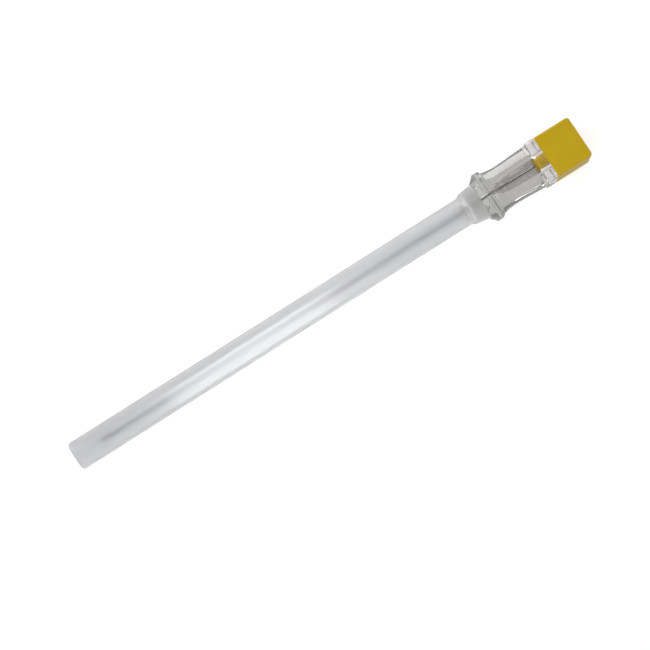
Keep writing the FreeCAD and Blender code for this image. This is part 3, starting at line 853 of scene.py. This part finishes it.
tube_steel, tree, shader, effect = new_finish(
    "tube_steel",
    drawn_group,
    {"Line Scale": 9000, "Stretch": 0.01},
    bump_distance=0.00002,
    Metallic=1.0,
    IOR=2.5,
)
vary_number(tree, effect.outputs["Tone"], shader.inputs["Roughness"], *TUBE_ROUGHNESS)
vary_colour(tree, effect.outputs["Tone"], shader.inputs["Base Color"], *TUBE_SHADED_TONES)

wire_steel, tree, shader, effect = new_finish(
    "wire_steel",
    drawn_group,
    {"Line Scale": 12000, "Stretch": 0.008},
    bump_distance=0.00001,
    Metallic=1.0,
    IOR=2.5,
)
vary_number(tree, effect.outputs["Tone"], shader.inputs["Roughness"], *WIRE_ROUGHNESS)
vary_colour(tree, effect.outputs["Tone"], shader.inputs["Base Color"], *WIRE_TONES)
print("made", tube_steel.name, "and", wire_steel.name)

# %% Make the adhesive
RESIN_TONES = ((0.80, 0.76, 0.66), (0.90, 0.87, 0.79))
RESIN_ROUGHNESS = (0.08, 0.2)
RESIN_KEPT = (0.85, 0.82, 0.74)

amber_resin, tree, shader, effect = new_finish(
    "amber_resin",
    moulded_group,
    {"Grain Scale": 900, "Flow Scale": 300, "Flow Share": 0.7},
    bump_distance=0.00008,
    Transmission_Weight=0.9,
    IOR=1.5,
)
vary_number(tree, effect.outputs["Mask"], shader.inputs["Roughness"], *RESIN_ROUGHNESS)
vary_colour(tree, effect.outputs["Mask"], shader.inputs["Base Color"], *RESIN_TONES)
let_lamps_through(amber_resin, RESIN_KEPT)
print("made", amber_resin.name)

# %% Make the cap plastic
YELLOW_TONES = ((0.54, 0.355, 0.003), (0.61, 0.41, 0.005))
YELLOW_ROUGHNESS = (0.34, 0.46)

yellow_plastic, tree, shader, effect = new_finish(
    "yellow_plastic",
    moulded_group,
    {"Grain Scale": 5200, "Flow Scale": 240, "Flow Share": 0.45},
    bump_distance=0.00006,
    IOR=1.5,
    Specular_IOR_Level=0.3,
)
vary_number(tree, effect.outputs["Mask"], shader.inputs["Roughness"], *YELLOW_ROUGHNESS)
vary_colour(tree, effect.outputs["Mask"], shader.inputs["Base Color"], *YELLOW_TONES)
print("made", yellow_plastic.name)

# %% [markdown]
# ## Give the pieces their finish and their body
#
# The steel, the adhesive and the cap keep their CAD meshes, which are exact. Each piece rides
# on the body that moves it, so the sheath can slide off and the stylet can be drawn out.

# %% Dress the CAD nodes and seat the new pieces
for node, finish, slot in (
    ("cannula", tube_steel, "cannula_steel"),
    ("stylet_wire", wire_steel, "stylet_steel"),
    ("adhesive_bond", amber_resin, "cured_adhesive"),
    ("stylet_cap", yellow_plastic, "cap_plastic"),
):
    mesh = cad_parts[node].data
    mesh.materials.clear()
    mesh.materials.append(finish)

for piece, body, node, slot in (
    (sheath, "sheath", "needle_sheath", "sheath_plastic"),
    (hub, "hub", "needle_hub", "hub_plastic"),
):
    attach(piece, body)
    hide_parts(node)
    print(piece.name, "rides on", body)

# %% [markdown]
# ## The floor
#
# The photo was cut out on white, with hardly a shadow. The camera sees the floor in a white
# diffuse colour, which takes the lamps and the soft contact shadow, plus a small light of its
# own. A floor of pure light would be free of noise, and Blender's denoiser then keeps the noise
# of the object as specks, so most of the white comes from the diffuse colour. Reflections and
# rays through the plastic meet shares of a plain white, and everything else meets a grey that
# throws little light back up.

# %% Make the floor
FLOOR_HALF = 6.0
FLOOR_DROP = 0.00002
FLOOR_GREY = 0.5
CAMERA_LIFT = 0.5
CAMERA_GLOW = 0.36
MIRRORED_WHITE = 0.55
THROUGH_WHITE = 0.05

floor = new_piece(
    "floor",
    [
        (-FLOOR_HALF, -FLOOR_HALF, -FLOOR_DROP),
        (FLOOR_HALF, -FLOOR_HALF, -FLOOR_DROP),
        (FLOOR_HALF, FLOOR_HALF, -FLOOR_DROP),
        (-FLOOR_HALF, FLOOR_HALF, -FLOOR_DROP),
    ],
    [(0, 1, 2, 3)],
)
floor_finish = bpy.data.materials.new("floor_white")
floor_finish.use_nodes = True
tree = floor_finish.node_tree
tree.nodes.clear()
seen = tree.nodes.new("ShaderNodeLightPath")
plain = tree.nodes.new("ShaderNodeBsdfDiffuse")
lift = math_node(tree, "MULTIPLY", seen.outputs["Is Camera Ray"], CAMERA_LIFT)
tree.links.new(math_node(tree, "ADD", FLOOR_GREY, lift), plain.inputs["Color"])
white = tree.nodes.new("ShaderNodeEmission")
white.inputs["Color"].default_value = (1, 1, 1, 1)
white.inputs["Strength"].default_value = 1.0
mirrored = math_node(tree, "MULTIPLY", seen.outputs["Is Glossy Ray"], MIRRORED_WHITE)
through = math_node(tree, "MULTIPLY", seen.outputs["Is Transmission Ray"], THROUGH_WHITE)
blend = tree.nodes.new("ShaderNodeMixShader")
tree.links.new(math_node(tree, "MAXIMUM", mirrored, through), blend.inputs[0])
tree.links.new(plain.outputs[0], blend.inputs[1])
tree.links.new(white.outputs[0], blend.inputs[2])
glow = tree.nodes.new("ShaderNodeEmission")
glow_strength = math_node(tree, "MULTIPLY", seen.outputs["Is Camera Ray"], CAMERA_GLOW)
tree.links.new(glow_strength, glow.inputs["Strength"])
total = tree.nodes.new("ShaderNodeAddShader")
tree.links.new(blend.outputs[0], total.inputs[0])
tree.links.new(glow.outputs[0], total.inputs[1])
output = tree.nodes.new("ShaderNodeOutputMaterial")
tree.links.new(total.outputs[0], output.inputs["Surface"])
floor.data.materials.append(floor_finish)
print("floor", 2 * FLOOR_HALF, "m across")

# %% [markdown]
# ## The light round the object
#
# The world is bright below and soft grey above. A clear rim then shows pale edges against
# darker faces, which is how clear plastic is told from milky plastic in the photo.

# %% Make the world
SKY_BELOW = (0.88, 0.88, 0.88)
SKY_ABOVE = (0.30, 0.30, 0.31)
SKY_TURN = 0.55

world = bpy.data.worlds.new("studio")
bpy.context.scene.world = world
world.use_nodes = True
tree = world.node_tree
background = tree.nodes["Background"]
place = tree.nodes.new("ShaderNodeTexCoord").outputs["Generated"]
parts = tree.nodes.new("ShaderNodeSeparateXYZ")
tree.links.new(place, parts.inputs[0])
sky = tree.nodes.new("ShaderNodeValToRGB")
sky.color_ramp.elements[0].position = 0.0
sky.color_ramp.elements[0].color = (*SKY_BELOW, 1)
sky.color_ramp.elements[1].position = SKY_TURN
sky.color_ramp.elements[1].color = (*SKY_ABOVE, 1)
tree.links.new(parts.outputs["Z"], sky.inputs[0])
tree.links.new(sky.outputs[0], background.inputs["Color"])
background.inputs["Strength"].default_value = 1.0
print("world made")

# %% [markdown]
# ## The lamps
#
# The highlight of the sheath is wide, fades at both ends and stays inside the long edges. Four
# small panels hang close above the middle in a row that is bent round the tube, so each lights
# its own strip, and together they make that one soft light. A low lamp beside the rear of the
# hub glances off its clear plastic. Two weak lamps further off fill the shadows.


# %% Hang the lamps
PANEL_DEGREES = (-22, 12, 46, 80)
PANEL_DISTANCE = 0.075
PANEL_SIZE = (0.044, 0.045)
PANEL_POWER = 0.0136
PANEL_PLACE = -0.015
LOW_TARGET = 0.047


def softbox(name, place, target, size, power):
    """A rectangular lamp that faces its target and shines to one side only."""
    light = bpy.data.lights.new(name, "AREA")
    light.shape = "RECTANGLE"
    light.size, light.size_y = size
    light.energy = power
    lamp = bpy.data.objects.new(name, light)
    lamp.location = place
    lamp.rotation_mode = "QUATERNION"
    lamp.rotation_quaternion = (Vector(target) - Vector(place)).to_track_quat("-Z", "Y")
    bpy.context.scene.collection.objects.link(lamp)
    return lamp


middle = (cad_box[0] + cad_box[1]) / 2
panel_aim = Vector((PANEL_PLACE, 0, AXIS_HEIGHT))
for number, degrees in enumerate(PANEL_DEGREES):
    lean = math.radians(degrees)
    place = panel_aim + PANEL_DISTANCE * Vector((0, -math.sin(lean), math.cos(lean)))
    softbox(f"panel_{number}", place, panel_aim, PANEL_SIZE, PANEL_POWER)
low_aim = Vector((LOW_TARGET, 0, AXIS_HEIGHT))
for name, place, target, size, power in (
    ("low_light", (0.066, 0.10, 0.036), low_aim, (0.025, 0.065), 0.024),
    ("fill", (-0.6, 0.5, 0.5), middle, (0.4, 0.4), 1.4),
    ("side", (0.55, -0.2, 0.5), middle, (0.3, 0.3), 1.6),
):
    softbox(name, place, target, size, power)
print(len(PANEL_DEGREES) + 3, "lamps made")

# %% [markdown]
# ## Camera
#
# The photo looks down on the needle, which lies on its flange. A long lens keeps the tube the
# same width from end to end, as in the photo.

# %% Place the camera
FRAME_WIDTH = 0.13265
LENS = 150.0
SENSOR = 36.0
AZIMUTH = math.radians(-32.67)
ELEVATION = math.radians(81)
AIM_RIGHT = -0.00088
AIM_UP = -0.00577

camera_data = bpy.data.cameras.new("camera")
camera_data.lens = LENS
camera_data.sensor_width = SENSOR
camera = bpy.data.objects.new("camera", camera_data)
bpy.context.scene.collection.objects.link(camera)
right = Vector((math.cos(AZIMUTH), math.sin(AZIMUTH), 0))
back = Vector(
    (
        math.sin(AZIMUTH) * math.cos(ELEVATION),
        -math.cos(AZIMUTH) * math.cos(ELEVATION),
        math.sin(ELEVATION),
    )
)
up = back.cross(right)
distance = FRAME_WIDTH / 2 / (SENSOR / 2 / LENS)
aim = Vector((0, 0, AXIS_HEIGHT)) + right * AIM_RIGHT + up * AIM_UP
camera.rotation_mode = "QUATERNION"
camera.rotation_quaternion = (-back).to_track_quat("-Z", "Y")
camera.location = aim + back * distance
camera_data.clip_start = 0.01
camera_data.clip_end = 50.0
bpy.context.scene.camera = camera
bpy.context.scene.view_settings.view_transform = "Standard"
print("camera", round(distance, 3), "m away")

# %% [markdown]
# ## Finish
#
# The dressed object must keep the box of the CAD part. The CAD box is written out.

# %% Write the sizes and finish
print("CAD box", [[round(v / MM, 2) for v in c] for c in cad_box])
